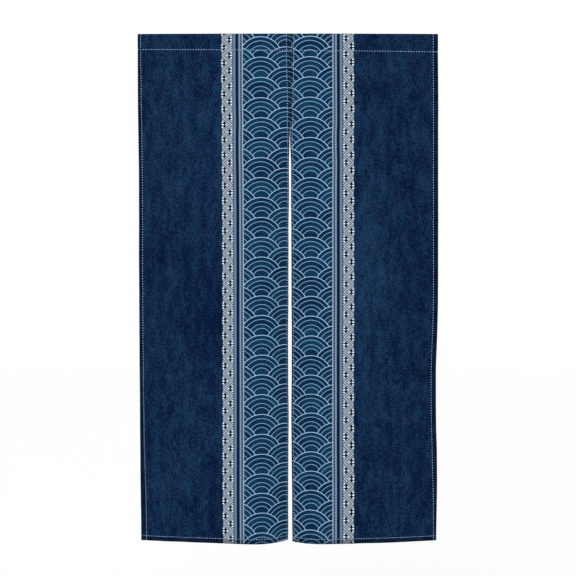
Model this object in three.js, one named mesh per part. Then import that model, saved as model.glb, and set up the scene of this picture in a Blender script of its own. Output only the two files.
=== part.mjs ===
// A noren: a printed door curtain of two cloth panels that share one rod pocket, hanging still.
// Millimetres, +Z up. The front faces -Y, +X is to the right, and the origin is the middle of
// the top edge. The panels are sewn edge to edge at the top and part at a slit lower down.
import * as THREE from 'three';

// Driving dimensions
const HEIGHT = 1430;
const TOP_HALF_WIDTH = 420.6;
const TOP_EDGE_SAG = 1.2;
const CLOTH = 1.2;
const GAP = 0.3;

// Hems are turned to the back, so the cloth is two layers thick there
const SIDE_HEM = 12;
const SLIT_HEM = 6;
const BOTTOM_HEM = 14;
const HEM_STEP = 1;

// Depth of the rod pocket from the top edge to its lower edge, at its two ends
const POCKET_DEPTH_LEFT = 45.8;
const POCKET_DEPTH_RIGHT = 51.1;
const POCKET_DEPTH_MEAN = (POCKET_DEPTH_LEFT + POCKET_DEPTH_RIGHT) / 2;
const POCKET_STEPS = 14;

// Half the depth of the empty pocket, outside and inside, where it is open
const POCKET_SECTION = [
  { down: 0, outside: 0, inside: null },
  { down: 0.5, outside: 1.9, inside: null },
  { down: 1.2, outside: 2.8, inside: 0 },
  { down: 2.4, outside: 3.8, inside: 2.1 },
  { down: 5, outside: 5.1, inside: 3.8 },
  { down: 10, outside: 6, inside: 4.8 },
  { down: 17, outside: 6.2, inside: 5 },
  { down: 25, outside: 5.3, inside: 4.1 },
  { down: 33, outside: 3.9, inside: 2.7 },
  { down: 40, outside: 2.5, inside: 1.3 },
  { down: 45, outside: 1.4, inside: 0 },
  { down: POCKET_DEPTH_MEAN, outside: CLOTH, inside: null },
];

// How each panel hangs, a row for each height. outer and slit are the places of its two edges
// along X. Between them the cloth bows forward to its crest along -Y, and the two edges lie
// back from that crest by outerBack and slitBack.
const ROW_COLUMNS = ['down', 'outer', 'slit', 'crest', 'outerBack', 'slitBack'];
const LEFT_ROWS = [
  [0, -420.9, 8.5, 0, 0, 0],
  [60, -420.8, 8.5, -0.5, 1, 0],
  [200, -420.2, 8, -5, 10, 0],
  [255, -419.8, 7.4, -7, 15, 0.5],
  [285, -419.6, 4.1, -8, 18, 6],
  [310, -419.4, 3.4, -9, 20, 11],
  [377, -419, 1.9, -11, 24, 22],
  [480, -418.7, 1.8, -12, 27, 28],
  [545, -418.5, 0.7, -13, 29, 32],
  [830, -418.1, 0.3, -14, 31, 36],
  [1000, -416.7, 0.4, -15, 34, 37],
  [1180, -415.8, 0.4, -15.5, 38, 37],
  [1300, -414.8, 0.2, -16.5, 42, 37],
  [HEIGHT, -414.1, -1.5, -17, 44, 38],
];
const RIGHT_ROWS = [
  [0, 420.9, 8.85, 0, 0, 0],
  [60, 420.9, 8.85, -0.5, 1, 0],
  [200, 421.2, 8.35, -5, 6, 0],
  [255, 421.2, 7.8, -7, 8, 0.5],
  [285, 421.2, 7.8, -8, 9, 3],
  [310, 421.2, 8, -9, 10, 6],
  [377, 421.2, 10.6, -10, 12, 14],
  [480, 421.2, 10.4, -10.5, 13, 19],
  [545, 421.2, 11.1, -11, 14, 23],
  [740, 421.3, 11.8, -12, 18, 27],
  [850, 420.1, 11.7, -12, 28, 28],
  [960, 418, 11.8, -13, 38, 28],
  [1040, 418, 11.9, -13, 40, 28],
  [1110, 417.9, 12, -13, 36, 28],
  [1180, 419.2, 12.1, -13, 30, 28],
  [1260, 420, 12.6, -13.5, 30, 28],
  [1340, 419.5, 13, -14, 34, 29],
  [HEIGHT, 418.5, 15.1, -14, 36, 30],
];

// Each panel's flat width, the place of its crest, and how far its hems draw up the bottom edge:
// outerLift over the whole side, and the corner lifts at the very ends
const LEFT_PANEL = {
  name: 'left_panel',
  rows: LEFT_ROWS,
  width: 429.4,
  crestFromOuter: 330,
  outerLift: 3.4,
  outerCornerLift: 0.4,
  slitCornerLift: 5.5,
};
const RIGHT_PANEL = {
  name: 'right_panel',
  rows: RIGHT_ROWS,
  width: 412.05,
  crestFromOuter: 331,
  outerLift: 1.3,
  outerCornerLift: 3.1,
  slitCornerLift: 1.5,
};

// How sharply a bow turns from its round crest into its straight flank
const BOW_TURN = 2;
const BOW_SCALE = Math.hypot(1, BOW_TURN) - 1;
const LIFT_REACH = 120;

// Grid of each panel: cells between its side hems, and cells between header and bottom hem
const CELLS_ACROSS = 20;
const CELLS_DOWN = 34;

const COTTON = { color: 0x17375f, roughness: 0.92, metalness: 0 };

function namedRow(values) {
  return Object.fromEntries(ROW_COLUMNS.map((column, k) => [column, values[k]]));
}

// Slope of a column at row k, kept between its neighbours' slopes so that nothing overshoots
function slopeAt(rows, k, column) {
  if (k === 0 || k === rows.length - 1) return 0;
  const before = (rows[k][column] - rows[k - 1][column]) / (rows[k].down - rows[k - 1].down);
  const after = (rows[k + 1][column] - rows[k][column]) / (rows[k + 1].down - rows[k].down);
  return before * after > 0 ? (2 * before * after) / (before + after) : 0;
}

// All columns of a panel's table at any height, on a smooth curve through its rows
function rowAt(rows, down) {
  let k = 0;
  while (k < rows.length - 2 && down > rows[k + 1].down) k += 1;
  const span = rows[k + 1].down - rows[k].down;
  const f = THREE.MathUtils.clamp((down - rows[k].down) / span, 0, 1);
  const blend = f * f * (3 - 2 * f);
  const leave = f * (1 - f) * (1 - f) * span;
  const arrive = f * f * (1 - f) * span;
  const row = {};
  for (const column of ROW_COLUMNS) {
    const start = rows[k][column];
    const rise = rows[k + 1][column] - start;
    const turn = slopeAt(rows, k, column) * leave - slopeAt(rows, k + 1, column) * arrive;
    row[column] = start + rise * blend + turn;
  }
  return row;
}

// Depth of the rod pocket at a place along X
function pocketDepth(x) {
  const along = THREE.MathUtils.clamp((x + TOP_HALF_WIDTH) / (2 * TOP_HALF_WIDTH), 0, 1);
  return THREE.MathUtils.lerp(POCKET_DEPTH_LEFT, POCKET_DEPTH_RIGHT, along);
}

function topEdge(x) {
  return -TOP_EDGE_SAG * (x / TOP_HALF_WIDTH) ** 2;
}

// How far back the cloth lies at a part of the way from crest to edge, as a share of the edge's
function bow(part) {
  return (Math.hypot(1, BOW_TURN * part) - 1) / BOW_SCALE;
}

// Cloth keeps its length, so a bow draws it in along X
function drawIn(part, back, span) {
  const share = (part - Math.atan(BOW_TURN * part) / BOW_TURN) * (BOW_TURN / BOW_SCALE) ** 2 / 2;
  return share * back ** 2 / span;
}

// A point on the front of a panel, from its place across the flat cloth and its height
function frontPoint(panel, fromOuter, down) {
  const row = rowAt(panel.rows, down);
  const outerSpan = panel.crestFromOuter;
  const slitSpan = panel.width - outerSpan;
  const toOuter = Math.max(0, (outerSpan - fromOuter) / outerSpan);
  const toSlit = Math.max(0, (fromOuter - outerSpan) / slitSpan);
  const drawOuter = drawIn(1, row.outerBack, outerSpan);
  const drawSlit = drawIn(1, row.slitBack, slitSpan);
  const stillOuter = drawIn(toOuter, row.outerBack, outerSpan);
  const drawn = drawOuter - stillOuter + drawIn(toSlit, row.slitBack, slitSpan);
  const along = (fromOuter - drawn) / (panel.width - drawOuter - drawSlit);
  const x = THREE.MathUtils.lerp(row.outer, row.slit, along);
  const y = row.crest - CLOTH + row.outerBack * bow(toOuter) + row.slitBack * bow(toSlit);
  const outerLift = panel.outerLift * toOuter * (2 - toOuter) + panel.outerCornerLift * toOuter ** 3;
  const lift = outerLift + panel.slitCornerLift * toSlit ** 3;
  const lifted = THREE.MathUtils.smoothstep(down, HEIGHT - LIFT_REACH, HEIGHT);
  return new THREE.Vector3(x, y, topEdge(x) - down + lift * lifted);
}

// Stations between two edges: even cells, and a pair at each hem for the step in thickness
function stations(firstHem, lastHem, length, cells) {
  const even = Array.from({ length: cells + 1 }, (_, k) => k / cells);
  const middle = even.map((part) => THREE.MathUtils.lerp(firstHem, length - lastHem, part));
  const first = firstHem > 0 ? [0, firstHem - HEM_STEP] : [];
  return [...first, ...middle, length - lastHem + HEM_STEP, length];
}

// One panel: a box with cells, each of whose points is laid on the hanging cloth
function makePanel(panel) {
  const sheet = { ...panel, rows: panel.rows.map(namedRow) };
  const top = sheet.rows[0];
  const outerSign = Math.sign(top.outer);
  const across = stations(SIDE_HEM, SLIT_HEM, sheet.width, CELLS_ACROSS);
  const downs = stations(0, BOTTOM_HEM, HEIGHT - POCKET_DEPTH_MEAN, CELLS_DOWN);
  const columns = across.length - 1;
  const rows = downs.length - 1;
  const geometry = new THREE.BoxGeometry(1, 1, 1, columns, rows, 1);
  const position = geometry.attributes.position;
  for (let k = 0; k < position.count; k += 1) {
    const column = Math.round((position.getX(k) + 0.5) * columns);
    const row = Math.round((0.5 - position.getY(k)) * rows);
    const fromOuter = across[outerSign < 0 ? column : columns - column];

    // The top edge follows the slanting lower edge of the rod pocket
    const flatX = THREE.MathUtils.lerp(top.outer, top.slit, fromOuter / sheet.width);
    const start = pocketDepth(flatX) + GAP;
    const down = THREE.MathUtils.lerp(start, HEIGHT, downs[row] / downs[rows]);
    const point = frontPoint(sheet, fromOuter, down);
    const isBack = position.getZ(k) < 0;
    if (isBack) {
      const inHem = fromOuter < SIDE_HEM || fromOuter > sheet.width - SLIT_HEM || row > rows - 2;
      const toRight = frontPoint(sheet, fromOuter - outerSign, down).sub(point);
      const flat = new THREE.Vector2(toRight.x, toRight.y).normalize();
      const thickness = inHem ? 2 * CLOTH : CLOTH;
      point.x -= flat.y * thickness;
      point.y += flat.x * thickness;
    }
    position.setXYZ(k, point.x, point.y, point.z);
  }
  return finish(geometry, sheet.name);
}

// The rod pocket: the tops of the panels turned to the back and sewn down, open at both ends
function makeRodPocket() {
  const open = POCKET_SECTION.filter((row) => row.inside !== null);
  const outline = new THREE.Shape(loop(POCKET_SECTION, 'outside'));
  outline.holes.push(new THREE.Path(loop(open, 'inside')));
  const settings = { depth: 2 * TOP_HALF_WIDTH, steps: POCKET_STEPS, bevelEnabled: false };
  const geometry = new THREE.ExtrudeGeometry(outline, settings);
  const position = geometry.attributes.position;
  for (let k = 0; k < position.count; k += 1) {
    const x = position.getZ(k) - TOP_HALF_WIDTH;
    const scale = pocketDepth(x) / POCKET_DEPTH_MEAN;
    position.setXYZ(k, x, position.getX(k), topEdge(x) + position.getY(k) * scale);
  }
  return finish(geometry, 'rod_pocket');
}

// A closed loop of a section, anticlockwise: down its front and up its back
function loop(rows, side) {
  const front = rows.map((row) => new THREE.Vector2(-row[side], -row.down));
  const back = rows.map((row) => new THREE.Vector2(row[side], -row.down)).reverse();
  return [...front, ...back].filter((point, k, all) => !point.equals(all.at(k - 1)));
}

function finish(geometry, name) {
  geometry.computeVertexNormals();
  const mesh = new THREE.Mesh(geometry, new THREE.MeshStandardMaterial(COTTON));
  mesh.name = name;
  return mesh;
}

const group = new THREE.Group();
group.add(makeRodPocket(), makePanel(LEFT_PANEL), makePanel(RIGHT_PANEL));

export default group;
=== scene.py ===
# %% [markdown]
# # A printed noren
#
# A noren is a short Japanese door curtain: two cloth panels on one rod pocket, joined at the top
# and parted by a slit lower down. This one is indigo cotton with a printed middle strip of
# seigaiha waves between two zigzag borders, all sewn with a light thread.
#
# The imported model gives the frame. Its solids say where each panel hangs, and this script lays
# a real cloth of half a millimetre on them, with turned hems, stitches and the print.

# %% Load the frame
import math
from types import SimpleNamespace

import bpy
import numpy as np
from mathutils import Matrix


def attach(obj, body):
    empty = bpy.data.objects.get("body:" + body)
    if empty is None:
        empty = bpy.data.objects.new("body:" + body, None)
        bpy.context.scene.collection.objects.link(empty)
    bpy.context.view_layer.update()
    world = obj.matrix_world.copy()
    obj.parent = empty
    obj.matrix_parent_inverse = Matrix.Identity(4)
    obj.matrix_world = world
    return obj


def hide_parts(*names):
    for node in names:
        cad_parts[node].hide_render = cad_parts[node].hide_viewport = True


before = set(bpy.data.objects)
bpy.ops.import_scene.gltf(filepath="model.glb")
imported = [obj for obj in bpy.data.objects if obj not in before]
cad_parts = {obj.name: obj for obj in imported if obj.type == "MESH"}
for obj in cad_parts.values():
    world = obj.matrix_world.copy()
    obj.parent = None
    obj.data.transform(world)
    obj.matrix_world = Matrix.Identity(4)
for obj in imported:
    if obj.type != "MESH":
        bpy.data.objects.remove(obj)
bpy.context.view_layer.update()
MM = 0.001

# %% [markdown]
# ## Camera, light and floor
#
# The photo shows the curtain face on from a few metres, level with its middle, in flat studio
# light. A long lens at that distance gives the same small perspective. A white world lights the
# cloth from all sides, as a studio tent does, and one large soft lamp from the upper left keeps
# the folds readable. A colour transform without a film curve keeps the dye colours as they are.

# %% Camera, light and floor
CAMERA_PLACE = (0.42 * MM, -3350 * MM, -714.1 * MM)
FOCAL_PIXELS = 1193.9
IMAGE_PIXELS = 576
SENSOR_WIDTH = 36
FLOOR_HEIGHT = -2.0
FLOOR_SIZE = 30
WORLD_STRENGTH = 1.0
KEY_POWER = 18
KEY_SIZE = 1.6
KEY_PLACE = (-0.9, -3, 0.6)
KEY_TURN = (math.radians(66), 0, math.radians(-17))
FLOOR_COLOUR = (0.99, 0.99, 0.99, 1)
FLOOR_ROUGHNESS = 0.9


def add_object(name, data):
    made = bpy.data.objects.new(name, data)
    bpy.context.scene.collection.objects.link(made)
    return made


def new_material(name):
    """A material, and its shader node."""
    material = bpy.data.materials.new(name)
    material.use_nodes = True
    return material, material.node_tree.nodes["Principled BSDF"]


def place_camera():
    lens = bpy.data.cameras.new("camera")
    lens.sensor_width = SENSOR_WIDTH
    lens.lens = FOCAL_PIXELS * SENSOR_WIDTH / IMAGE_PIXELS
    camera = add_object("camera", lens)
    camera.location = CAMERA_PLACE
    camera.rotation_euler = (math.pi / 2, 0, 0)
    bpy.context.scene.camera = camera


def light_the_room():
    world = bpy.data.worlds.new("studio")
    world.use_nodes = True
    background = world.node_tree.nodes["Background"]
    background.inputs["Color"].default_value = (1, 1, 1, 1)
    background.inputs["Strength"].default_value = WORLD_STRENGTH
    bpy.context.scene.world = world
    lamp = bpy.data.lights.new("key", "AREA")
    lamp.shape = "DISK"
    lamp.size = KEY_SIZE
    lamp.energy = KEY_POWER
    key = add_object("key", lamp)
    key.location = KEY_PLACE
    key.rotation_euler = KEY_TURN


def lay_floor():
    half = FLOOR_SIZE / 2
    corners = [(-half, -half), (half, -half), (half, half), (-half, half)]
    mesh = bpy.data.meshes.new("floor")
    mesh.from_pydata([(x, y, FLOOR_HEIGHT) for x, y in corners], [], [(0, 1, 2, 3)])
    floor = add_object("floor", mesh)
    paint, shader = new_material("pale_floor")
    shader.inputs["Base Color"].default_value = FLOOR_COLOUR
    shader.inputs["Roughness"].default_value = FLOOR_ROUGHNESS
    mesh.materials.append(paint)


bpy.context.scene.view_settings.view_transform = "Standard"
place_camera()
light_the_room()
lay_floor()
print("lens", round(bpy.context.scene.camera.data.lens, 2), "mm")

# %% [markdown]
# ## How each panel hangs
#
# The two panels bow forward between their edges and swing a little out of line, so their slit
# opens downwards. A table with a row for each height holds the two edges and the depth of the
# bow, in millimetres, and a smooth curve runs through its rows. The same values shape the
# solids of the frame to within about two millimetres, so the cloth lies where they are.

# %% Tables of the hang
HEIGHT = 1430
TOP_HALF_WIDTH = 420.6
TOP_EDGE_SAG = 1.2
SOLID_CLOTH = 1.2
POCKET_DEPTH_LEFT = 46
POCKET_DEPTH_RIGHT = 52.7
BOW_TURN = 2
BOW_SCALE = math.hypot(1, BOW_TURN) - 1
LIFT_REACH = 120

# Down, outer edge, slit edge, crest, outer edge behind the crest, slit edge behind the crest
LEFT_ROWS = [
    (0, -420.9, 8.5, 0, 0, 0),
    (60, -421.4, 8.5, -0.5, 1, 0),
    (200, -421.4, 8, -5, 10, 0),
    (255, -421, 7.4, -7, 15, 0.5),
    (285, -420.8, 5.5, -8, 18, 6),
    (310, -420.6, 4.8, -9, 20, 11),
    (377, -420.2, 3.3, -11, 24, 22),
    (480, -419.9, 3.2, -12, 27, 28),
    (545, -419.7, 2.1, -13, 29, 32),
    (830, -419.3, 1.7, -14, 31, 36),
    (1000, -417.9, 1.8, -15, 34, 37),
    (1180, -417, 1.8, -15.5, 38, 37),
    (1300, -416, 1.9, -16.5, 42, 37),
    (HEIGHT, -415.3, 1.6, -17, 44, 38),
]
RIGHT_ROWS = [
    (0, 420.9, 8.8, 0, 0, 0),
    (60, 421.4, 8.8, -0.5, 1, 0),
    (200, 422.3, 8.3, -5, 6, 0),
    (255, 422.3, 7.8, -7, 8, 0.5),
    (285, 422.3, 6.1, -8, 9, 3),
    (310, 422.3, 6.3, -9, 10, 6),
    (377, 422.3, 8.9, -10, 12, 14),
    (480, 422.3, 8.7, -10.5, 13, 19),
    (545, 422.3, 9.4, -11, 14, 23),
    (740, 422.4, 10.1, -12, 18, 27),
    (850, 421.2, 10, -12, 28, 28),
    (960, 419.1, 10.1, -13, 38, 28),
    (1040, 419.1, 10.2, -13, 40, 28),
    (1110, 419, 10.3, -13, 36, 28),
    (1180, 420.3, 10.4, -13, 30, 28),
    (1260, 421.1, 10.9, -13.5, 30, 28),
    (1340, 420.6, 11.3, -14, 34, 29),
    (HEIGHT, 419.6, 12.2, -14, 36, 30),
]

# Down, stitch line behind the outer edge, stitch line behind the slit edge
LEFT_SEWING = [
    (0, 8.3, 12.8),
    (60, 8.6, 12.4),
    (200, 9.7, 9.6),
    (255, 9.9, 8.8),
    (300, 10.1, 5),
    (500, 10.5, 4.5),
    (700, 10.6, 4.5),
    (1000, 11, 4.5),
    (1090, 12, 4.5),
    (1190, 12.9, 4.5),
    (1285, 15.2, 4.5),
    (1335, 15.9, 4.5),
    (HEIGHT, 16.3, 4.5),
]
RIGHT_SEWING = [
    (0, 13.5, 7.6),
    (60, 13.5, 7.4),
    (200, 13.5, 6.2),
    (255, 13.5, 5.7),
    (500, 13.4, 5.7),
    (700, 13.3, 5.8),
    (1000, 14.2, 5.9),
    (1190, 13.5, 6),
    (1235, 13, 6),
    (1285, 11.4, 6),
    (1335, 9.8, 6),
    (HEIGHT, 8.8, 6),
]

# Down, print drawn down, print drawn left at the border and at the slit, border drawn down more
LEFT_PRINT = [
    (0, 0.3, 0, -0.5, 0.2),
    (74, 0.9, -0.2, -0.7, 0.2),
    (186, 4.2, -1, -1.3, 0),
    (298, 5.3, -3.2, -4, 0),
    (410, 5.8, -3.6, -4.6, 0.5),
    (523, 6, -3.4, -4, 0.3),
    (690, 4.8, -3.4, -3, 0.3),
    (760, 1.9, -3.3, -3, 1.4),
    (972, 0.9, -3, -2.4, 1.4),
    (1084, 0.2, -2.9, -2.1, 0.8),
    (1196, -0.1, -2.7, -1.5, 0.6),
    (1308, -2.6, -2.6, -0.9, 1.3),
    (HEIGHT, -3, -3, -0.4, 2.4),
]
RIGHT_PRINT = [
    (0, -1.3, 0.7, 2.1, -2.4),
    (74, -0.3, 0.7, 2.2, -1.9),
    (186, 2.5, 0.3, 1.9, -0.4),
    (298, 4.6, -0.1, -0.4, 0),
    (410, 5.9, 0, -0.2, 0.4),
    (523, 6.3, -0.7, -2.6, 1),
    (635, 5.7, -1.1, -3.9, 2.4),
    (747, 3.8, -1.2, -4.8, 3.4),
    (859, 3.4, -1.4, -5.9, 3.9),
    (972, 1.2, -1.6, -5.9, 5.5),
    (1084, -4.1, -1.6, -6.3, 10.4),
    (1196, -6.7, -1.3, -6.1, 24),
    (1308, -10.5, -1.1, -4.7, 37.2),
    (HEIGHT, -10.2, -1, -4.7, 47.5),
]
LEFT_PANEL = SimpleNamespace(
    name="left_cloth",
    nodes=("left_panel", "rod_pocket"),
    side=-1,
    hang=np.array(LEFT_ROWS, float),
    sewing=np.array(LEFT_SEWING, float),
    printed=np.array(LEFT_PRINT, float),
    width=429.4,
    crest=330,
    outer_lift=3.4,
    outer_corner_lift=0.4,
    slit_corner_lift=5.5,
)
RIGHT_PANEL = SimpleNamespace(
    name="right_cloth",
    nodes=("right_panel", "rod_pocket"),
    side=1,
    hang=np.array(RIGHT_ROWS, float),
    sewing=np.array(RIGHT_SEWING, float),
    printed=np.array(RIGHT_PRINT, float),
    width=412.05,
    crest=331,
    outer_lift=1.3,
    outer_corner_lift=3.1,
    slit_corner_lift=1.5,
)


def columns_at(table, down):
    """The columns of a table at any heights, on a smooth curve that never overshoots its rows."""
    knots = table[:, 0]
    steps = np.diff(knots)
    rises = np.diff(table, axis=0) / steps[:, None]
    product = rises[:-1] * rises[1:]
    total = np.where(product > 0, rises[:-1] + rises[1:], 1)
    slopes = np.zeros_like(table)
    slopes[1:-1] = np.where(product > 0, 2 * product / total, 0)
    k = np.clip(np.searchsorted(knots, down, side="right") - 1, 0, len(knots) - 2)
    span = steps[k][..., None]
    f = np.clip((down - knots[k])[..., None] / span, 0, 1)
    eased = table[k] + (table[k + 1] - table[k]) * f * f * (3 - 2 * f)
    turned = eased + slopes[k] * f * (1 - f) ** 2 * span - slopes[k + 1] * f * f * (1 - f) * span
    return [turned[..., column] for column in range(1, table.shape[1])]


def smooth(value, start, end):
    part = np.clip((value - start) / (end - start), 0, 1)
    return part * part * (3 - 2 * part)


def bow(part):
    """How deep a bow is: 0 at its crest, and 1 at its edge."""
    return (np.hypot(1, BOW_TURN * part) - 1) / BOW_SCALE


def draw_in(part, back, span):
    """How far the bow draws the cloth in, from its crest to a part of its span."""
    share = (part - np.arctan(BOW_TURN * part) / BOW_TURN) * (BOW_TURN / BOW_SCALE) ** 2 / 2
    return share * back**2 / span


def pocket_depth(x):
    along = np.clip((x + TOP_HALF_WIDTH) / (2 * TOP_HALF_WIDTH), 0, 1)
    return POCKET_DEPTH_LEFT + (POCKET_DEPTH_RIGHT - POCKET_DEPTH_LEFT) * along


def flat_across(panel, from_outer):
    """A point's place along X in the flat cloth, which is where it lies at the top edge."""
    return panel.hang[0, 1] - panel.side * from_outer


def hang(panel, from_outer, down):
    """The front face of a panel without its pocket: x, y and z in millimetres."""
    outer, slit, crest, outer_back, slit_back = columns_at(panel.hang, down)
    outer_span = panel.crest
    slit_span = panel.width - outer_span
    to_outer = np.maximum(0, (outer_span - from_outer) / outer_span)
    to_slit = np.maximum(0, (from_outer - outer_span) / slit_span)
    draw_outer = draw_in(1, outer_back, outer_span)
    draw_slit = draw_in(1, slit_back, slit_span)
    drawn = draw_outer - draw_in(to_outer, outer_back, outer_span)
    drawn = drawn + draw_in(to_slit, slit_back, slit_span)
    along = (from_outer - drawn) / (panel.width - draw_outer - draw_slit)
    x = outer + (slit - outer) * along
    y = crest - SOLID_CLOTH + outer_back * bow(to_outer) + slit_back * bow(to_slit)
    lift = panel.outer_lift * to_outer * (2 - to_outer)
    lift = lift + panel.outer_corner_lift * to_outer**3 + panel.slit_corner_lift * to_slit**3
    lifted = lift * smooth(down, HEIGHT - LIFT_REACH, HEIGHT)
    return x, y, lifted - down - TOP_EDGE_SAG * (x / TOP_HALF_WIDTH) ** 2


PANELS = (LEFT_PANEL, RIGHT_PANEL)
for panel in PANELS:
    corner = hang(panel, np.array([0.0]), np.array([float(HEIGHT)]))
    print(panel.name, "outer bottom corner", [round(float(value[0]), 1) for value in corner])

# %% [markdown]
# ## Layers, hems and the rod pocket
#
# Each side edge is turned to the back twice, so the cloth is about three layers thick there.
# The top runs over the rod's place, down the back and under one row of stitches, which makes
# the pocket. A closed shell is the plainest way to build this: one outer face, one inner face,
# and a thickness that steps up where the hem's layers lie. Its rim is rounded like a fold.

# %% Thickness and folds
LAYER = 0.55
HEM_LAYERS = 1.7
HEM_PAST_STITCH = 1.7
BOTTOM_STITCH = 13.5
HEADER_STITCH_RISE = 2.2
POCKET_SWELL = 14.2
POCKET_FALL = 1.2
POCKET_FLAT = 0.15
BACK_SWELL = 1.1
TURNED_FLAP = 9
FLAP_GAP = 0.15
STEP_WIDTH = 0.8
SEAM_END = (240, 285)
SEAM_OVERLAP = 0.2
SEAM_REACH = 30
BORDER_REACH = (120, 232)
SLIT_REACH = (298, 370)


def sewing_at(panel, down):
    """The two side stitch lines, each measured from its edge."""
    return columns_at(panel.sewing, down)


def print_shift(panel, from_outer, down):
    """How far the print is drawn left across the cloth and down it, and the border down more."""
    drawn_down, at_border, at_slit, border_down = columns_at(panel.printed, down)
    across = at_border * smooth(from_outer, *BORDER_REACH)
    across = across + (at_slit - at_border) * smooth(from_outer, *SLIT_REACH)
    return across, drawn_down, border_down


def seam_closed(down):
    """1 where the two panels are joined, and 0 along the slit."""
    return 1 - smooth(down, *SEAM_END)


def inside(distance, edge):
    """1 within a hem that is turned in as far as edge, and 0 past it."""
    return 1 - smooth(distance, edge - STEP_WIDTH / 2, edge + STEP_WIDTH / 2)


def layers_at(panel, from_outer, travel):
    """The cloth's thickness, the way to the nearest folded edge, and the turned hems there."""
    down = np.abs(travel)
    outer_stitch, slit_stitch = sewing_at(panel, down)
    from_slit = panel.width - from_outer
    side = inside(from_outer, outer_stitch + HEM_PAST_STITCH)
    side = side + inside(from_slit, slit_stitch + HEM_PAST_STITCH)
    from_bottom = HEIGHT - travel
    bottom = inside(from_bottom, BOTTOM_STITCH + HEM_PAST_STITCH)
    from_flap = travel + pocket_depth(flat_across(panel, from_outer))
    flap = inside(from_flap, TURNED_FLAP)
    thickness = LAYER * (1 + HEM_LAYERS * (side + bottom) + flap)
    distance = np.minimum(np.minimum(from_outer, from_slit), np.minimum(from_bottom, from_flap))
    return thickness, np.maximum(distance, 0), side, bottom


def lay(panel, from_outer, travel):
    """The cloth's outer face. travel is the way from the top fold: down the front if positive,
    and down the back of the pocket if negative."""
    down = np.abs(travel)
    x, y, z = hang(panel, from_outer, down)
    part = np.clip(down / pocket_depth(flat_across(panel, from_outer)), 0, 1)
    swell = POCKET_SWELL * np.sqrt(part) * (1 - part) ** POCKET_FALL
    flat = smooth(part, 0, POCKET_FLAT)
    front_layers = layers_at(panel, from_outer, down)[0]
    stack = front_layers + layers_at(panel, from_outer, travel)[0] + FLAP_GAP
    front = y * flat - swell
    back = (y + stack) * flat + BACK_SWELL * swell
    to_slit = smooth(from_outer, panel.width - SEAM_REACH, panel.width)
    x = x - panel.side * SEAM_OVERLAP * seam_closed(down) * to_slit
    return np.stack([x, np.where(travel < 0, back, front), z], axis=-1)


print("pocket depth at its ends", POCKET_DEPTH_LEFT, POCKET_DEPTH_RIGHT, "mm")

# %% [markdown]
# ## Creases and puckers
#
# The thread draws each hem into small puckers and sinks into a shallow groove, and the folded
# curtain keeps one soft crease across its middle. A cloth simulation could make them, but not
# where they are on the real one, so they are smooth bumps placed one by one, in millimetres.

# %% Relief of the cloth
PUCKER_HEIGHT = 0.3
PUCKER_REACH = 8
GROOVE_DEPTH = 0.25
GROOVE_WIDTH = 1.2
CREASE_DOWN = 725
CREASE_DEPTH = 0.9
CREASE_WIDTH = 7
CREASE_DRIFT = 3
CREASE_DRIFT_LENGTH = 90
RIPPLES_START = (70, 220)
# Height, length across, length down, start
RIPPLES = [(0.9, 210, 520, 0.4), (0.6, 130, -340, 2.1), (0.35, -75, 160, 4.4)]
# Height, length, start
PUCKERS = [(1, 31, 0.3), (0.8, 19.5, 1.9), (0.6, 47, 4.1), (0.4, 12.7, 5.2)]


def bump(distance, width):
    return np.exp(-((distance / width) ** 2))


def puckers(along, phase):
    total = 0
    for height, length, start in PUCKERS:
        total = total + height * np.sin(2 * np.pi * along / length + start + phase)
    return total / len(PUCKERS)


def relief(panel, from_outer, travel):
    """How far the cloth stands out of its even hang."""
    down = np.abs(travel)
    across = flat_across(panel, from_outer)
    outer_stitch, slit_stitch = sewing_at(panel, down)
    rows = [
        (from_outer - outer_stitch, down, 0.0),
        (panel.width - from_outer - slit_stitch, down, 2.0),
        (HEIGHT - down - BOTTOM_STITCH, across, 4.0),
        (down - pocket_depth(across) + HEADER_STITCH_RISE, across, 1.0),
    ]
    raised = np.zeros_like(down)
    for distance, along, phase in rows:
        drawn_up = puckers(along, phase + panel.side) * bump(distance, PUCKER_REACH)
        raised = raised + PUCKER_HEIGHT * drawn_up - GROOVE_DEPTH * bump(distance, GROOVE_WIDTH)
    drift = CREASE_DRIFT * np.sin(across / CREASE_DRIFT_LENGTH)
    raised = raised - CREASE_DEPTH * bump(down - CREASE_DOWN - drift, CREASE_WIDTH)
    below = smooth(down, *RIPPLES_START)
    for height, width, length, start in RIPPLES:
        turn = 2 * np.pi * (across / width + down / length) + start
        raised = raised + below * height * np.sin(turn)
    return raised


# %% [markdown]
# ## The cloth mesh
#
# Subdividing a plane evenly would spend its points on the flat middle. This grid has its
# columns and rows where the shape needs them: close at the folds, stitches and the pocket, and
# wide between them. Each point keeps its place in the flat cloth as a UV, in metres, so the
# print follows the cloth and not the room.

# %% Grid lines
OUTER_COLUMNS = (0, 0.12, 0.4, 0.8, 1.6, 2.8, 4.2, 5.8)
SLIT_COLUMNS = OUTER_COLUMNS[:5]
STITCH_COLUMNS = (-1.9, -1.2, -0.6, 0, 0.6, 1.2, 1.6, 2.1, 2.6)
FIELD_COLUMNS = 62
POCKET_ROWS = 24
HEADER_ROWS = (4.6, 3.9, 3.4, 2.8, 2.2, 1.6, 1, 0.5, 0.15, 0)
FIELD_ROWS = 290
BOTTOM_ROWS = (
    *(16.3, 15.7, 15.3, 14.9, 14.1, 13.5, 12.9, 12.3, 9.5),
    *(7.5, 5.5, 3.8, 2.4, 1.4, 0.8, 0.4, 0.12, 0),
)
ROW_GAP = 1
BOTTOM_ROW_GAP = 3


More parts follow.
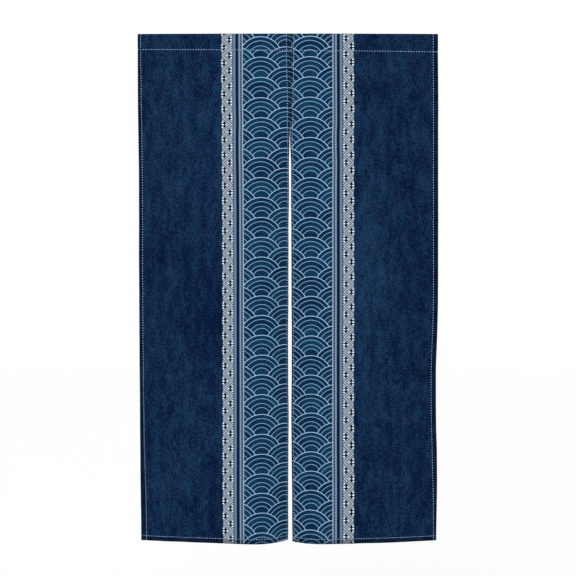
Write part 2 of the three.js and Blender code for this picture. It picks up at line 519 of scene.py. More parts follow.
def grid(panel):
    """Each point's place from the outer edge and its travel from the top fold, in millimetres."""
    depth = pocket_depth(flat_across(panel, np.array([0.0, panel.width])))
    part = np.linspace(-1, 1, 2 * POCKET_ROWS + 1)[1:-1]
    below = np.linspace(0, 1, FIELD_ROWS)[1:]
    header = np.array(HEADER_ROWS)
    bottom = HEIGHT - np.array(BOTTOM_ROWS)
    field_end = bottom[0] - BOTTOM_ROW_GAP

    def travel_for(local_depth):
        pocket = np.sign(part) * (local_depth - header[0] - ROW_GAP) * part**2
        field = local_depth + (field_end - local_depth) * below
        return np.concatenate([header[::-1] - local_depth, pocket, local_depth - header, field, bottom])

    def columns(beside, stitch_line):
        fixed = np.tile(beside, (len(stitch_line), 1))
        return np.concatenate([fixed, stitch_line[:, None] + STITCH_COLUMNS], axis=1)

    outer_stitch, slit_stitch = sewing_at(panel, np.abs(travel_for(depth.mean())))
    outer = columns(OUTER_COLUMNS, outer_stitch)
    slit = panel.width - columns(SLIT_COLUMNS, slit_stitch)[:, ::-1]
    share = np.linspace(0, 1, FIELD_COLUMNS + 2)[1:-1]
    field = outer[:, -1:] + (slit[:, :1] - outer[:, -1:]) * share
    from_outer = np.concatenate([outer, field, slit], axis=1)
    if panel.side > 0:
        from_outer = from_outer[:, ::-1]
    local_depth = pocket_depth(flat_across(panel, from_outer))
    travel = np.stack([travel_for(value) for value in local_depth.mean(axis=0)], axis=1)
    return from_outer, travel


def outward(points):
    """The outward direction of the outer face at each point of a grid."""
    across = np.gradient(points, axis=1)
    down = np.gradient(points, axis=0)
    normal = -np.cross(across, down)
    return normal / np.linalg.norm(normal, axis=-1, keepdims=True)


left_grid = grid(LEFT_PANEL)[0]
print("grid", left_grid.shape, "smallest column step", np.diff(left_grid).min().round(3), "mm")


# %% Build the two cloths
PRINT_MAP = "cloth"
BAKE_MAP = "OFBake"
BAKE_MARGIN = 0.005
BAKE_FRONT = (BAKE_MARGIN, 0.66)
BAKE_BACK = (0.67, 1 - BAKE_MARGIN)
# Shade painted at the folds is eased at the closed seam and at the top fold
SEAM_SHADE_EASE = 1.4
TOP_FOLD_SHADE_EASE = 0.6
TOP_FOLD_SHADE_REACH = 20


def quads(index):
    """The faces of a grid of point numbers, facing outward."""
    corners = [index[:-1, :-1], index[1:, :-1], index[1:, 1:], index[:-1, 1:]]
    return np.stack(corners, axis=-1).reshape(-1, 4)


def both_faces(front, back):
    """Values for all points of the outer face, and for the inner face's points within its rim."""
    shape = (-1, *front.shape[2:])
    return np.concatenate([front.reshape(shape), back[1:-1, 1:-1].reshape(shape)])


def build_cloth(panel):
    from_outer, travel = grid(panel)
    face = lay(panel, from_outer, travel)
    face = face + outward(face) * relief(panel, from_outer, travel)[..., None]
    normal = outward(face)
    thickness, distance, side, bottom = layers_at(panel, from_outer, travel)
    radius = thickness / 2
    rounded = np.sqrt(np.maximum(radius**2 - np.maximum(radius - distance, 0) ** 2, 0))
    front = face - normal * (radius - rounded)[..., None]
    back = face - normal * (radius + rounded)[..., None]

    # The rim's points are shared, so the shell closes on itself
    rows, columns = travel.shape
    front_index = np.arange(rows * columns).reshape(rows, columns)
    back_index = front_index.copy()
    inner_count = (rows - 2) * (columns - 2)
    back_index[1:-1, 1:-1] = rows * columns + np.arange(inner_count).reshape(rows - 2, -1)
    points = both_faces(front, back) * MM
    faces = np.concatenate([quads(front_index), quads(back_index)[:, ::-1]])
    mesh = bpy.data.meshes.new(panel.name)
    mesh.from_pydata(points.tolist(), [], faces.tolist())
    mesh.shade_smooth()

    # On the back, a turned hem shows the print that runs on past the fold
    drawn_left, drawn_down, border_down = print_shift(panel, from_outer, np.abs(travel))
    slit_side = from_outer > panel.width / 2
    mirrored = np.where(slit_side, 2 * panel.width - from_outer, -from_outer)
    turned = from_outer + (mirrored - from_outer) * np.clip(side, 0, 1)
    along = travel - drawn_down
    turned_along = along + 2 * (HEIGHT - travel) * np.clip(bottom, 0, 1)
    front_flat = np.stack([flat_across(panel, from_outer) + drawn_left, along], axis=-1)
    back_flat = np.stack([flat_across(panel, turned) + drawn_left, turned_along], axis=-1)
    corner = faces.reshape(-1)
    flat = both_faces(front_flat, back_flat)[corner] * MM
    mesh.uv_layers.new(name=PRINT_MAP).data.foreach_set("uv", flat.reshape(-1))
    add_bake_map(mesh, panel, from_outer, travel, corner)
    # The turned hems: shade is painted on them, and on the back they show the right side
    hem = np.clip(side + bottom, 0, 1)
    # The way to the nearest fold, where shade is painted into the colour
    edge = fold_shade_distance(panel, from_outer, travel, distance) * MM
    add_value(mesh, "hem", hem, hem)
    add_value(mesh, "wrong_side", np.zeros_like(hem), 1 - hem)
    add_value(mesh, "border_down", border_down * MM, border_down * MM)
    add_value(mesh, "from_edge", edge, edge)
    print(panel.name, 2 * len(faces), "triangles, lowest point", points[:, 2].min().round(4))
    return add_object(panel.name, mesh)


def fold_shade_distance(panel, from_outer, travel, distance):
    """How far a point is from the nearest fold, where shade is painted. The closed seam gets less of
    it.
    """
    down = np.abs(travel)
    at_seam = panel.width - from_outer <= distance + 0.001
    from_side = distance + SEAM_SHADE_EASE * seam_closed(down) * at_seam
    return np.minimum(from_side, np.minimum(down + TOP_FOLD_SHADE_EASE, TOP_FOLD_SHADE_REACH))


def add_value(mesh, name, front, back):
    values = both_faces(front, back).astype(np.float32)
    mesh.attributes.new(name, "FLOAT", "POINT").data.foreach_set("value", values)


def add_bake_map(mesh, panel, from_outer, travel, corner):
    """A flat map for a baked texture: the outer face on the left, the inner face on the right."""
    drop = (travel - travel.min()) / (travel.max() - travel.min())
    height = 1 - BAKE_MARGIN - (1 - 2 * BAKE_MARGIN) * drop
    flat = np.stack([from_outer / panel.width, height], axis=-1)
    points = both_faces(flat, flat)[corner]
    half = len(corner) // 2
    for part, (start, end) in ((points[:half], BAKE_FRONT), (points[half:], BAKE_BACK)):
        part[:, 0] = start + (end - start) * part[:, 0]
    mesh.uv_layers.new(name=BAKE_MAP).data.foreach_set("uv", points.reshape(-1))


cloths = {panel.name: build_cloth(panel) for panel in PANELS}

# %% [markdown]
# ## Formulas in a shader
#
# The print is worked out from the cloth's own coordinates, so it stays sharp at any size. A
# small class stands for one value in a node tree, which lets each motif be written as a plain
# formula. Node groups hold the motifs, with their sizes as named inputs.

# %% Shader formulas
class Wire:
    """One value in a shader tree."""

    def __init__(self, socket):
        self.socket = socket
        self.nodes = socket.id_data.nodes

    def math(self, operation, *others):
        node = self.nodes.new("ShaderNodeMath")
        node.operation = operation
        for place, value in zip(node.inputs, (self, *others)):
            feed(place, value)
        return Wire(node.outputs[0])

    def __add__(self, other):
        return self.math("ADD", other)

    def __sub__(self, other):
        return self.math("SUBTRACT", other)

    def __mul__(self, other):
        return self.math("MULTIPLY", other)

    def __truediv__(self, other):
        return self.math("DIVIDE", other)

    def above(self, other):
        return self.math("GREATER_THAN", other)

    def smooth(self, start, end):
        """0 up to start, 1 past end, and a soft step between them."""
        node = self.nodes.new("ShaderNodeMapRange")
        node.interpolation_type = "SMOOTHSTEP"
        feed(node.inputs["Value"], self)
        feed(node.inputs["From Min"], start)
        feed(node.inputs["From Max"], end)
        return Wire(node.outputs["Result"])

    def size(self):
        return self.math("ABSOLUTE")

    def wrapped(self, repeat):
        """The distance to the nearest multiple of repeat, from minus to plus half of it."""
        return self.math("WRAP", repeat * 0.5, repeat * -0.5)


def feed(place, value):
    """Links a wire to a socket, or sets a plain number or colour on it."""
    if isinstance(value, Wire):
        place.id_data.links.new(value.socket, place)
    elif isinstance(value, tuple):
        place.default_value = (*value, 1) if len(place.default_value) == 4 else value
    else:
        place.default_value = value


def invert(value):
    return value * -1 + 1


def is_colour(value):
    return isinstance(value, tuple) or isinstance(value, Wire) and value.socket.type != "VALUE"


def mix(low, high, amount):
    """A blend of two values or two colours."""
    source = next(value for value in (amount, low, high) if isinstance(value, Wire))
    node = source.nodes.new("ShaderNodeMix")
    node.data_type = "RGBA" if is_colour(low) or is_colour(high) else "FLOAT"
    feed(node.inputs[0], amount)
    sockets = [place for place in node.inputs if place.enabled and place.name in "AB"]
    feed(sockets[0], low)
    feed(sockets[1], high)
    return Wire(next(place for place in node.outputs if place.enabled))


def point(x, y, z=0.0):
    """A coordinate made of three values, for a noise."""
    wire = next(value for value in (x, y, z) if isinstance(value, Wire))
    node = wire.nodes.new("ShaderNodeCombineXYZ")
    for place, value in zip(node.inputs, (x, y, z)):
        feed(place, value)
    return Wire(node.outputs[0])


def noise(place, scale, detail=2.0, roughness=0.5):
    node = place.nodes.new("ShaderNodeTexNoise")
    feed(node.inputs["Vector"], place)
    node.inputs["Scale"].default_value = scale
    node.inputs["Detail"].default_value = detail
    node.inputs["Roughness"].default_value = roughness
    return Wire(node.outputs["Fac"])


def chance(place):
    """A fixed value from 0 to 1 for each different coordinate."""
    node = place.nodes.new("ShaderNodeTexWhiteNoise")
    feed(node.inputs["Vector"], place)
    return Wire(node.outputs["Value"])


def add_inputs(tree, values):
    """Float inputs of a node group, by name."""
    for label, value in values.items():
        place = tree.interface.new_socket(label, in_out="INPUT", socket_type="NodeSocketFloat")
        place.default_value = value


def start_group(name, **inputs):
    """An empty shader group, and its inputs as wires."""
    group = bpy.data.node_groups.new(name, "ShaderNodeTree")
    add_inputs(group, inputs)
    entry = group.nodes.new("NodeGroupInput")
    return group, [Wire(entry.outputs[label]) for label in inputs]


def end_group(group, **results):
    """Gives a shader group its outputs, by name."""
    for label in results:
        kind = "NodeSocketColor" if label == "Colour" else "NodeSocketFloat"
        group.interface.new_socket(label, in_out="OUTPUT", socket_type=kind)
    end = group.nodes.new("NodeGroupOutput")
    for label, value in results.items():
        feed(end.inputs[label], value)
    return group


def place_group(tree, group, **values):
    node = tree.nodes.new("ShaderNodeGroup")
    node.node_tree = group
    for label, value in values.items():
        feed(node.inputs[label], value)
    return {place.name: Wire(place) for place in node.outputs}


def ink(red, green, blue):
    """A dye's colour as seen, in steps of 0 to 255, in the linear values that a shader takes."""
    return tuple(((value / 255 + 0.055) / 1.055) ** 2.4 for value in (red, green, blue))


def split(coordinate):
    """The parts of a coordinate's socket, as three wires."""
    tree = coordinate.id_data
    node = tree.nodes.new("ShaderNodeSeparateXYZ")
    tree.links.new(coordinate, node.inputs[0])
    return [Wire(place) for place in node.outputs]


def attribute(tree, name):
    node = tree.nodes.new("ShaderNodeAttribute")
    node.attribute_name = name
    return Wire(node.outputs["Fac"])


def scale_colour(colour, amount):
    node = colour.nodes.new("ShaderNodeVectorMath")
    node.operation = "SCALE"
    feed(node.inputs[0], colour)
    feed(node.inputs["Scale"], amount)
    return Wire(node.outputs[0])


print("indigo in linear light", [round(value, 4) for value in ink(14, 36, 68)])

# %% [markdown]
# ## Indigo ground
#
# The ground is printed to look like old dyed cotton: a deep navy worn in crumbs of teal and
# plum. The crumbs are short streaks that run down the cloth in some places and across it in
# others. A noise stretched one way makes streaks, so two stretched noises are blended by a
# third, slow one. Broad patches, longer down than across, make the whole a little uneven, and
# the ground is darker towards the outer edges.

# %% Indigo ground group
DEEP_NAVY = ink(1, 20, 49)
TEAL = ink(23, 58, 87)
PLUM = ink(31, 53, 85)
BROAD_SHARE = 0.35
PATCH_SHARE = 0.7
STREAK_SHARE = 1.4
CRUMB_SHARE = 0.75
WORN_RANGE = (1.38, 1.92)
HUE_RANGE = (0.42, 0.58)
DARK_RANGE = (0.30, 0.42)
OUTER_DARK = 0.08


def make_ground():
    group, (across, down) = start_group("indigo_ground", Across=0.0, Down=0.0)
    broad = noise(point(across, down * 0.3, 1.0), 7, 1)
    patches = noise(point(across * 2, down * 0.7), 22, 3, 0.6)
    streaks_down = noise(point(across * 3, down * 0.8, 3.0), 80, 3, 0.75)
    streaks_across = noise(point(across, down * 2.8, 5.0), 95, 3, 0.75)
    turn = noise(point(across, down, 8.0), 14, 1).smooth(0.4, 0.6)
    streaks = mix(streaks_down, streaks_across, turn * 0.8 + 0.1)
    crumbs = noise(point(across, down, 7.0), 200, 2, 0.8)
    worn = broad * BROAD_SHARE + patches * PATCH_SHARE + streaks * STREAK_SHARE + crumbs * CRUMB_SHARE
    hue = noise(point(across * 2, down, 11.0), 28, 4, 0.8).smooth(*HUE_RANGE)
    colour = mix(DEEP_NAVY, mix(TEAL, PLUM, hue), worn.smooth(*WORN_RANGE))
    outer = across.size().smooth(*DARK_RANGE)
    return end_group(group, Colour=scale_colour(colour, outer * -OUTER_DARK + 1))


ground_group = make_ground()
print("ground group", len(ground_group.nodes), "nodes")

# %% [markdown]
# ## Seigaiha waves
#
# Seigaiha is the traditional wave of overlapping scales. Each scale is a disc with three
# rings inside its rim. Discs stand in columns, every second column half a step lower, and a
# lower disc covers the ones above. So a point looks at its own column and the next nearest
# one, finds the lowest disc that reaches it in each, and takes the lower of the two.

# %% Seigaiha group
WAVE_PITCH = 70.3 * MM
WAVE_STEP = 55.64 * MM
WAVE_RADIUS = 62.6 * MM
WAVE_MIDDLE = -6.5 * MM
WAVE_FIRST_CREST = 36.9 * MM
WAVE_LINE = 1.6 * MM
WAVE_RINGS = (0.803, 0.588, 0.408)
WAVE_LIGHT = ink(180, 216, 250)
WAVE_DIM = ink(141, 184, 222)
WAVE_TEAL = ink(15, 58, 84)
WAVE_BLUE = ink(16, 48, 78)
WAVE_NAVY = ink(7, 34, 62)


def lowest_disc(column, across, down, radius):
    """In one column, the lowest disc that reaches a point: its height, its middle's distance and
    its number."""
    sideways = across - column * WAVE_PITCH
    reach = (sideways * sideways * -1 + radius * radius).math("MAXIMUM", 0).math("SQRT")
    shift = (column * 0.5).math("FRACT") * WAVE_STEP
    number = ((down + reach - shift) / WAVE_STEP).math("FLOOR")
    middle = number * WAVE_STEP + shift
    drop = down - middle
    return middle, (sideways * sideways + drop * drop).math("SQRT"), number


def make_waves():
    sizes = {"Radius": WAVE_RADIUS, "Line": WAVE_LINE}
    group, (across, down, radius, line) = start_group("seigaiha", Across=0.0, Down=0.0, **sizes)
    across = across - WAVE_MIDDLE
    down = down - WAVE_FIRST_CREST - radius
    near_column = (across / WAVE_PITCH).math("ROUND")
    far_column = near_column + (across / WAVE_PITCH - near_column).math("SIGN")
    near, near_distance, near_number = lowest_disc(near_column, across, down, radius)
    far, far_distance, far_number = lowest_disc(far_column, across, down, radius)
    far_wins = far.above(near) * invert(far_distance.above(radius))
    distance = mix(near_distance, far_distance, far_wins)
    disc = mix(near_column * 7 + near_number, far_column * 7 + far_number, far_wins)

    # Lines of the rim and the rings, and the number of the band between them
    rim = invert((radius - distance - line * 0.5).size().smooth(line * 0.3, line * 0.6))
    rings = rim * 0
    band = rim * 0
    for share in WAVE_RINGS:
        ring = radius * share
        rings = rings + invert((distance - ring).size().smooth(line * 0.24, line * 0.54))
        band = band + distance.above(ring)
    tint = chance(point(disc, band)) * 0.22 + noise(point(across, down, band * 0.15), 16, 3, 0.6) * 0.8
    fine = noise(point(across, down, 5.0), 200, 2, 0.8)
    colour = mix(WAVE_NAVY, WAVE_BLUE, (tint + fine * 0.9).smooth(0.7, 1.1))
    colour = mix(colour, WAVE_TEAL, (tint + fine * 0.7).smooth(0.75, 1.1))
    wear = noise(point(across, down, 9.0), 120, 3, 0.6).smooth(0.2, 0.5) * 0.3 + 0.7
    colour = mix(colour, WAVE_DIM, rings * wear)
    return end_group(group, Colour=mix(colour, WAVE_LIGHT, rim * wear))


waves_group = make_waves()
print("wave group", len(waves_group.nodes), "nodes, pitch", WAVE_PITCH / MM, "mm")

# %% [markdown]
# ## Zigzag border
#
# The border on each side of the waves is a band like bobbin lace: a zigzag of fine parallel
# threads, with a small cross in each notch, made of two dark diamonds between light dots. Next
# to it run a dotted edge, a slate stripe, a bare navy gap, a light stripe, a ladder of dark
# dots and the light line that ends the waves. The border is drawn once, from its own outer
# edge inwards, and mirrored for the other side.

# %% Border group
BORDER_REPEAT = 42.36 * MM
BORDER_UNIT = 2.806 * MM
LACE_WIDTH = 10.9
LACE_EDGE = 0.8
NET_SPACING = 3.3
NET_THREAD = 0.5
ARM_THREAD = 0.85
THREAD_SOFT = 0.5
ARM_REACH = (1.2 * NET_SPACING, 1.6 * NET_SPACING)
NOTCH_BULGE = 0.5
NOTCH_EDGE = (2.8, 4.4)
BORDER_WIDTH = 21.6
# Where each stripe starts, in the order above
BORDER_STRIPES = (
    (11.0, ink(82, 97, 116)),
    (12.1, ink(106, 124, 148)),
    (14.2, ink(6, 29, 58)),
    (17.35, ink(128, 148, 172)),
    (18.65, ink(84, 102, 128)),
    (20.6, ink(146, 168, 190)),
)
LACE_DARK = ink(60, 72, 88)
LACE_LIGHT = ink(170, 181, 194)
NOTCH_DARK = ink(14, 26, 44)
DOT_WHITE = ink(226, 242, 255)
DOT_BLACK = ink(4, 10, 20)
LADDER_PITCH = 7.43 * MM
LADDER_DARK = ink(18, 36, 62)
# Middle inwards and along, half width, half height
NOTCH = (2.4, 0, 3.4, 3.8)
BLACK_DIAMONDS = (2.95, 1.55, 1.6, 1.7)
EDGE_DOT = (0.85, 0, 1.35, 0.8)
SIDE_DOTS = (0.95, 2.6, 0.85, 0.7)
INNER_DOT = (4.5, 0, 0.85, 0.75)
LADDER_DOTS = (19.7, 0, 0.95, 0.8)
EDGE_DOTS = (11.6, 0, 0.75, 0.7)
SHARP_DOT = 0.2
SOFT_DOT = 0.35


def dot(inward, along, shape, soft=SHARP_DOT):
    """Round dots: 1 at the middle, falling to 0 at the rim."""
    middle, off, wide, high = shape
    sideways = ((inward - middle) / wide).math("POWER", 2)
    reach = (sideways + ((along.size() - off) / high).math("POWER", 2)).math("SQRT")
    return invert(reach.smooth(1 - soft, 1 + soft))


def diamond(inward, along, shape):
    middle, off, wide, high = shape
    reach = (inward - middle).size() / wide + (along.size() - off).size() / high
    return invert(reach.smooth(0.75, 1.2))


def threads(distance, half_width):
    """Parallel threads: 1 on a thread, and 0 between two."""
    reach = distance.wrapped(NET_SPACING).size()
    return invert(reach.smooth(half_width - THREAD_SOFT, half_width + THREAD_SOFT))


def make_border():
    group, (inward, along) = start_group("zigzag_border", Inward=0.0, Down=0.0)
    inward = inward / BORDER_UNIT
    along = along / BORDER_UNIT
    repeat = BORDER_REPEAT / BORDER_UNIT
    outer_cross = along.wrapped(repeat)
    inner_cross = (along + repeat / 2).wrapped(repeat)

    # The zigzag's threads, and the net that crosses them
    across_lace = outer_cross.size() * ((LACE_WIDTH - 2 * LACE_EDGE) / (repeat / 2))
    zigzag = inward - (LACE_WIDTH - LACE_EDGE) + across_lace
    on_arm = invert(zigzag.size().smooth(*ARM_REACH))
    arms = threads(zigzag, on_arm * (ARM_THREAD - NET_THREAD) + NET_THREAD)
    net = threads(inward - LACE_EDGE - across_lace, NET_THREAD)
    colour = mix(LACE_DARK, LACE_LIGHT, arms.math("MAXIMUM", net * (on_arm * -0.4 + 0.8)))

    # The crosses at both edges, and then the stripes and their dots
    for edge, off in ((inward, outer_cross), (inward * -1 + LACE_WIDTH, inner_cross)):
        white = dot(edge, off, EDGE_DOT).math("MAXIMUM", dot(edge, off, SIDE_DOTS))
        white = white.math("MAXIMUM", dot(edge, off, INNER_DOT) * 0.85)
        colour = mix(colour, NOTCH_DARK, diamond(edge, off, NOTCH) * 0.85)
        colour = mix(colour, DOT_BLACK, diamond(edge, off, BLACK_DIAMONDS))
        colour = mix(colour, DOT_WHITE, white * 0.95)
    for start, shade in BORDER_STRIPES:
        colour = mix(colour, shade, inward.smooth(start - 0.25, start + 0.25))
    off = along.wrapped(LADDER_PITCH / BORDER_UNIT)
    ladder = dot(inward, off, LADDER_DOTS, SOFT_DOT) + dot(inward, off, EDGE_DOTS, SOFT_DOT) * 0.7
    past_notch = outer_cross.size().smooth(*NOTCH_EDGE)
    return end_group(
        group,
        Colour=mix(colour, LADDER_DARK, ladder * 0.85),
        Within=(inward - past_notch * NOTCH_BULGE).smooth(-0.1, 0.4),
        Ends=invert(inward.smooth(BORDER_WIDTH - 0.3, BORDER_WIDTH + 0.3)),
    )


border_group = make_border()
print("border group", len(border_group.nodes), "nodes, width", BORDER_WIDTH * BORDER_UNIT / MM, "mm")

# %% [markdown]
# ## Plain weave
#
# Close up, the cotton is a plain weave with uneven yarns. The weave is far finer than the
# print, so it belongs in the colour and the bump and not in the mesh. The group gives a height
# for the bump and a small change of tone.

# %% Weave group
YARN_PITCH = 0.8 * MM


def make_weave():
    group, (across, down, pitch) = start_group("plain_weave", Across=0.0, Down=0.0, Pitch=YARN_PITCH)
    warp = (across / pitch * (2 * math.pi)).math("COSINE")
    weft = (down / pitch * (2 * math.pi)).math("COSINE")
    over = (across / pitch * math.pi).math("COSINE") * (down / pitch * math.pi).math("COSINE")
    warp_slub = noise(point(across * 12, down), 60, 2, 0.6)
    weft_slub = noise(point(across, down * 12, 4.0), 60, 2, 0.6)
    height = over * 0.5 + (warp + weft) * 0.2 + warp_slub * 1.2 + weft_slub * 0.9
    return end_group(group, Height=height, Tone=warp_slub * 0.6 + weft_slub * 0.4)


weave_group = make_weave()
print("weave group", len(weave_group.nodes), "nodes")

# %% [markdown]
# ## Printed cotton
#
# The material joins the parts of the print by their place across the cloth: border, waves and
# border in the middle, and ground outside them. The dye hardly goes through, so the wrong side
# shows a paler ghost of the print, while a turned hem shows its right side. Shade is painted
# into the colour at the folds and on the strip outside the stitches.

# %% Printed cotton
LEFT_BORDER = -187.1 * MM
RIGHT_BORDER = 186.2 * MM
BORDER_CROSS_DOWN = 81.8 * MM
# Shade painted into the colour on the hems and at the folds
HEM_PAINTED_SHADE = 0.42
FOLD_PAINTED_SHADE = 0.62
FOLD_SHADE_WIDTH = 3.2 * MM
YARN_TONE = 0.25
PALE_BACK = ink(168, 178, 192)
DYE_THROUGH = 0.62
WEAVE_BUMP = 0.3
WEAVE_DEPTH = 0.04 * MM
COTTON_ROUGHNESS = 0.93
COTTON_GLOSS = 0.03


def make_printed_cotton():
    material, shader = new_material("printed_cotton")
    tree = material.node_tree
    flat = tree.nodes.new("ShaderNodeUVMap")
    flat.uv_map = PRINT_MAP
    across, down, _ = split(flat.outputs["UV"])
    ground = place_group(tree, ground_group, Across=across, Down=down)
    waves = place_group(tree, waves_group, Across=across, Down=down)
    weave = place_group(tree, weave_group, Across=across, Down=down)
    border_down = down - attribute(tree, "border_down") - BORDER_CROSS_DOWN
    left = place_group(tree, border_group, Inward=across - LEFT_BORDER, Down=border_down)
    right = place_group(tree, border_group, Inward=across * -1 + RIGHT_BORDER, Down=border_down)
    colour = mix(waves["Colour"], left["Colour"], left["Ends"])
    colour = mix(colour, right["Colour"], right["Ends"])
    colour = mix(ground["Colour"], colour, left["Within"] * right["Within"])

    # Painted shade at the folds and hems, and the pale wrong side
    edge = attribute(tree, "from_edge").smooth(0.0, FOLD_SHADE_WIDTH)
    shade = (edge * FOLD_PAINTED_SHADE + (1 - FOLD_PAINTED_SHADE)) * (attribute(tree, "hem") * -HEM_PAINTED_SHADE + 1)
    tone = (weave["Tone"] - 0.5) * YARN_TONE + 1
    right_side = scale_colour(colour, shade * tone)
    wrong_side = scale_colour(mix(PALE_BACK, colour, DYE_THROUGH), tone)
    feed(shader.inputs["Base Color"], mix(right_side, wrong_side, attribute(tree, "wrong_side")))
    relief_node = tree.nodes.new("ShaderNodeBump")
    relief_node.inputs["Strength"].default_value = WEAVE_BUMP
    relief_node.inputs["Distance"].default_value = WEAVE_DEPTH
    feed(relief_node.inputs["Height"], weave["Height"])
    feed(shader.inputs["Normal"], Wire(relief_node.outputs["Normal"]))
    shader.inputs["Roughness"].default_value = COTTON_ROUGHNESS
    shader.inputs["Specular IOR Level"].default_value = COTTON_GLOSS
    return material


cotton = make_printed_cotton()
for cloth in cloths.values():
    cloth.data.materials.append(cotton)
print("printed cotton", len(cotton.node_tree.nodes), "nodes")

# %% [markdown]
# ## Stitches
#
# A lockstitch shows as a row of short light dashes on both faces. Every dash is the same small
# grain of thread, so Geometry Nodes set one on each point of a line, turned along the line and
# out from the cloth. The lines lie on the faces of the finished cloth.

# %% Stitch lines
LINE_SAMPLE = 2.5
LINE_END = 1.5
PROBE = 0.5


def along_line(length):
    return np.linspace(LINE_END, length - LINE_END, int(length / LINE_SAMPLE))


def stitch_lines(panel):
    """The four rows of a panel, each as places from the outer edge and travels from the fold."""
    down = along_line(HEIGHT)
    across = along_line(panel.width)
    outer_stitch, slit_stitch = sewing_at(panel, down)
    return {
        "outer": (outer_stitch, down),
        "slit": (panel.width - slit_stitch, down),
        "header": (across, pocket_depth(flat_across(panel, across)) - HEADER_STITCH_RISE),
        "bottom": (across, np.full_like(across, HEIGHT - BOTTOM_STITCH)),
    }


def on_cloth(panel, from_outer, travel, is_back):
    """Points on the finished cloth's face, and the way out from it there."""
    across = lay(panel, from_outer + PROBE, travel) - lay(panel, from_outer - PROBE, travel)
    along = lay(panel, from_outer, travel + PROBE) - lay(panel, from_outer, travel - PROBE)
    out = panel.side * np.cross(across, along)
    out = out / np.linalg.norm(out, axis=-1, keepdims=True)
    raised = relief(panel, from_outer, travel)
    if is_back:
        raised = raised - layers_at(panel, from_outer, travel)[0]
    place = lay(panel, from_outer, travel) + out * raised[..., None]
    return place, -out if is_back else out


def thread_paths(panel):
    """All rows of a panel on both faces. The header's back row lies on the pocket's flap."""
    paths = []
    for name, (from_outer, travel) in stitch_lines(panel).items():
        paths.append(on_cloth(panel, from_outer, travel, False))
        if name == "header":
            paths.append(on_cloth(panel, from_outer, -travel, False))
        else:
            below = travel > pocket_depth(flat_across(panel, from_outer)) + 1
            paths.append(on_cloth(panel, from_outer[below], travel[below], True))
    return paths


def path_mesh(name, paths):
    """The rows as lines of a mesh, each point with the way out from the cloth."""
    mesh = bpy.data.meshes.new(name)
    points = np.concatenate([place for place, _ in paths])
    edges = []
    first = 0
    for place, _ in paths:
        edges += [(first + k, first + k + 1) for k in range(len(place) - 1)]
        first += len(place)
    mesh.from_pydata((points * MM).tolist(), edges, [])
    ways = np.concatenate([way for _, way in paths]).astype(np.float32)
    mesh.attributes.new("out", "FLOAT_VECTOR", "POINT").data.foreach_set("vector", ways.reshape(-1))
    return mesh


for panel in PANELS:
    print(panel.name, {name: len(row[0]) for name, row in stitch_lines(panel).items()})

# %% Stitch tree
STITCH_SIZES = {"Pitch": 7.3 * MM, "Length": 3.9 * MM, "Width": 1.85 * MM, "Height": 0.6 * MM}
SMALLEST_STITCH = (0.86, 0.9, 0.9)
LARGEST_STITCH = (1.08, 1.1, 1.1)
STITCH_SEED = 4
GRAIN_SEGMENTS = 8
GRAIN_RINGS = 5
AS_VECTOR = {"data_type": "FLOAT_VECTOR"}


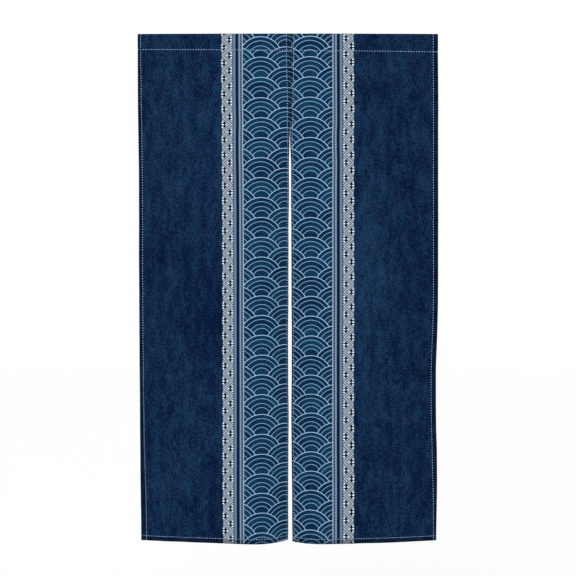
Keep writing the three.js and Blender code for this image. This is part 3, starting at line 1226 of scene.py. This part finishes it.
def make_stitch_tree():
    tree = bpy.data.node_groups.new("stitches", "GeometryNodeTree")
    tree.interface.new_socket("Geometry", in_out="INPUT", socket_type="NodeSocketGeometry")
    add_inputs(tree, STITCH_SIZES)
    tree.interface.new_socket("Material", in_out="INPUT", socket_type="NodeSocketMaterial")
    tree.interface.new_socket("Geometry", in_out="OUTPUT", socket_type="NodeSocketGeometry")

    def add(kind, settings=None, **inputs):
        """A node with its settings, and its inputs linked or set. Returns its outputs."""
        node = tree.nodes.new(kind)
        for label, value in (settings or {}).items():
            setattr(node, label, value)
        for label, value in inputs.items():
            place = node.inputs[label.replace("_", " ")]
            if isinstance(value, bpy.types.NodeSocket):
                tree.links.new(value, place)
            else:
                place.default_value = value
        return node.outputs

    entry = add("NodeGroupInput")
    curve = add("GeometryNodeMeshToCurve", Mesh=entry["Geometry"])["Curve"]
    spots = add("GeometryNodeResampleCurve", {"mode": "LENGTH"}, Curve=curve, Length=entry["Pitch"])

    # One grain of thread, as long, wide and high as asked
    ball = add("GeometryNodeMeshUVSphere", Segments=GRAIN_SEGMENTS, Rings=GRAIN_RINGS, Radius=0.5)
    turned = add("GeometryNodeTransform", Geometry=ball["Mesh"], Rotation=(0, math.pi / 2, 0))
    size = add("ShaderNodeCombineXYZ", X=entry["Length"], Y=entry["Width"], Z=entry["Height"])
    grain = add("GeometryNodeTransform", Geometry=turned["Geometry"], Scale=size["Vector"])

    # Along the row with its X, and out from the cloth with its Z
    tangent = add("GeometryNodeInputTangent")["Tangent"]
    out = add("GeometryNodeInputNamedAttribute", AS_VECTOR, Name="out")["Attribute"]
    axes = {"primary_axis": "Z", "secondary_axis": "X"}
    turn = add("FunctionNodeAxesToRotation", axes, Primary_Axis=out, Secondary_Axis=tangent)
    limits = {"Min": SMALLEST_STITCH, "Max": LARGEST_STITCH}
    uneven = add("FunctionNodeRandomValue", AS_VECTOR, Seed=STITCH_SEED, **limits)
    placed = add(
        "GeometryNodeInstanceOnPoints",
        Points=spots["Curve"],
        Instance=grain["Geometry"],
        Rotation=turn["Rotation"],
        Scale=uneven["Value"],
    )
    real = add("GeometryNodeRealizeInstances", Geometry=placed["Instances"])["Geometry"]
    smoothed = add("GeometryNodeSetShadeSmooth", Geometry=real)["Geometry"]
    painted = add("GeometryNodeSetMaterial", Geometry=smoothed, Material=entry["Material"])
    add("NodeGroupOutput", Geometry=painted["Geometry"])
    return tree


stitch_tree = make_stitch_tree()
print("stitch tree", len(stitch_tree.nodes), "nodes")

# %% Thread material and stitches
THREAD = ink(172, 198, 236)
THREAD_PAINTED_SHADE = ink(146, 172, 214)
THREAD_TWIST = 0.9 * MM
THREAD_ROUGHNESS = 0.6


def make_thread():
    """Light polyester thread, with painted shade in fine slanting bands along its twist."""
    material, shader = new_material("light_thread")
    place = material.node_tree.nodes.new("ShaderNodeTexCoord")
    x, _, z = split(place.outputs["Object"])
    twist = ((x + z) * (2 * math.pi / THREAD_TWIST)).math("SINE") * 0.5 + 0.5
    feed(shader.inputs["Base Color"], mix(THREAD_PAINTED_SHADE, THREAD, twist))
    shader.inputs["Roughness"].default_value = THREAD_ROUGHNESS
    return material


def make_stitches(panel, material):
    name = panel.name.replace("cloth", "stitches")
    rows = add_object(name + "_rows", path_mesh(name, thread_paths(panel)))
    modifier = rows.modifiers.new("stitches", "NODES")
    modifier.node_group = stitch_tree
    for item in stitch_tree.interface.items_tree:
        if item.in_out == "INPUT" and item.name == "Material":
            modifier[item.identifier] = material
    evaluated = rows.evaluated_get(bpy.context.evaluated_depsgraph_get())
    mesh = bpy.data.meshes.new_from_object(evaluated)
    mesh.name = name
    bpy.data.objects.remove(rows)
    stitches = add_object(name, mesh)
    print(name, len(mesh.polygons), "faces")
    return stitches


thread = make_thread()
stitches = {panel.name: make_stitches(panel, thread) for panel in PANELS}

for panel in PANELS:
    cloth = cloths[panel.name]
    sewn = stitches[panel.name]
    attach(cloth, "root")
    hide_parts(*panel.nodes)
    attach(sewn, "root")
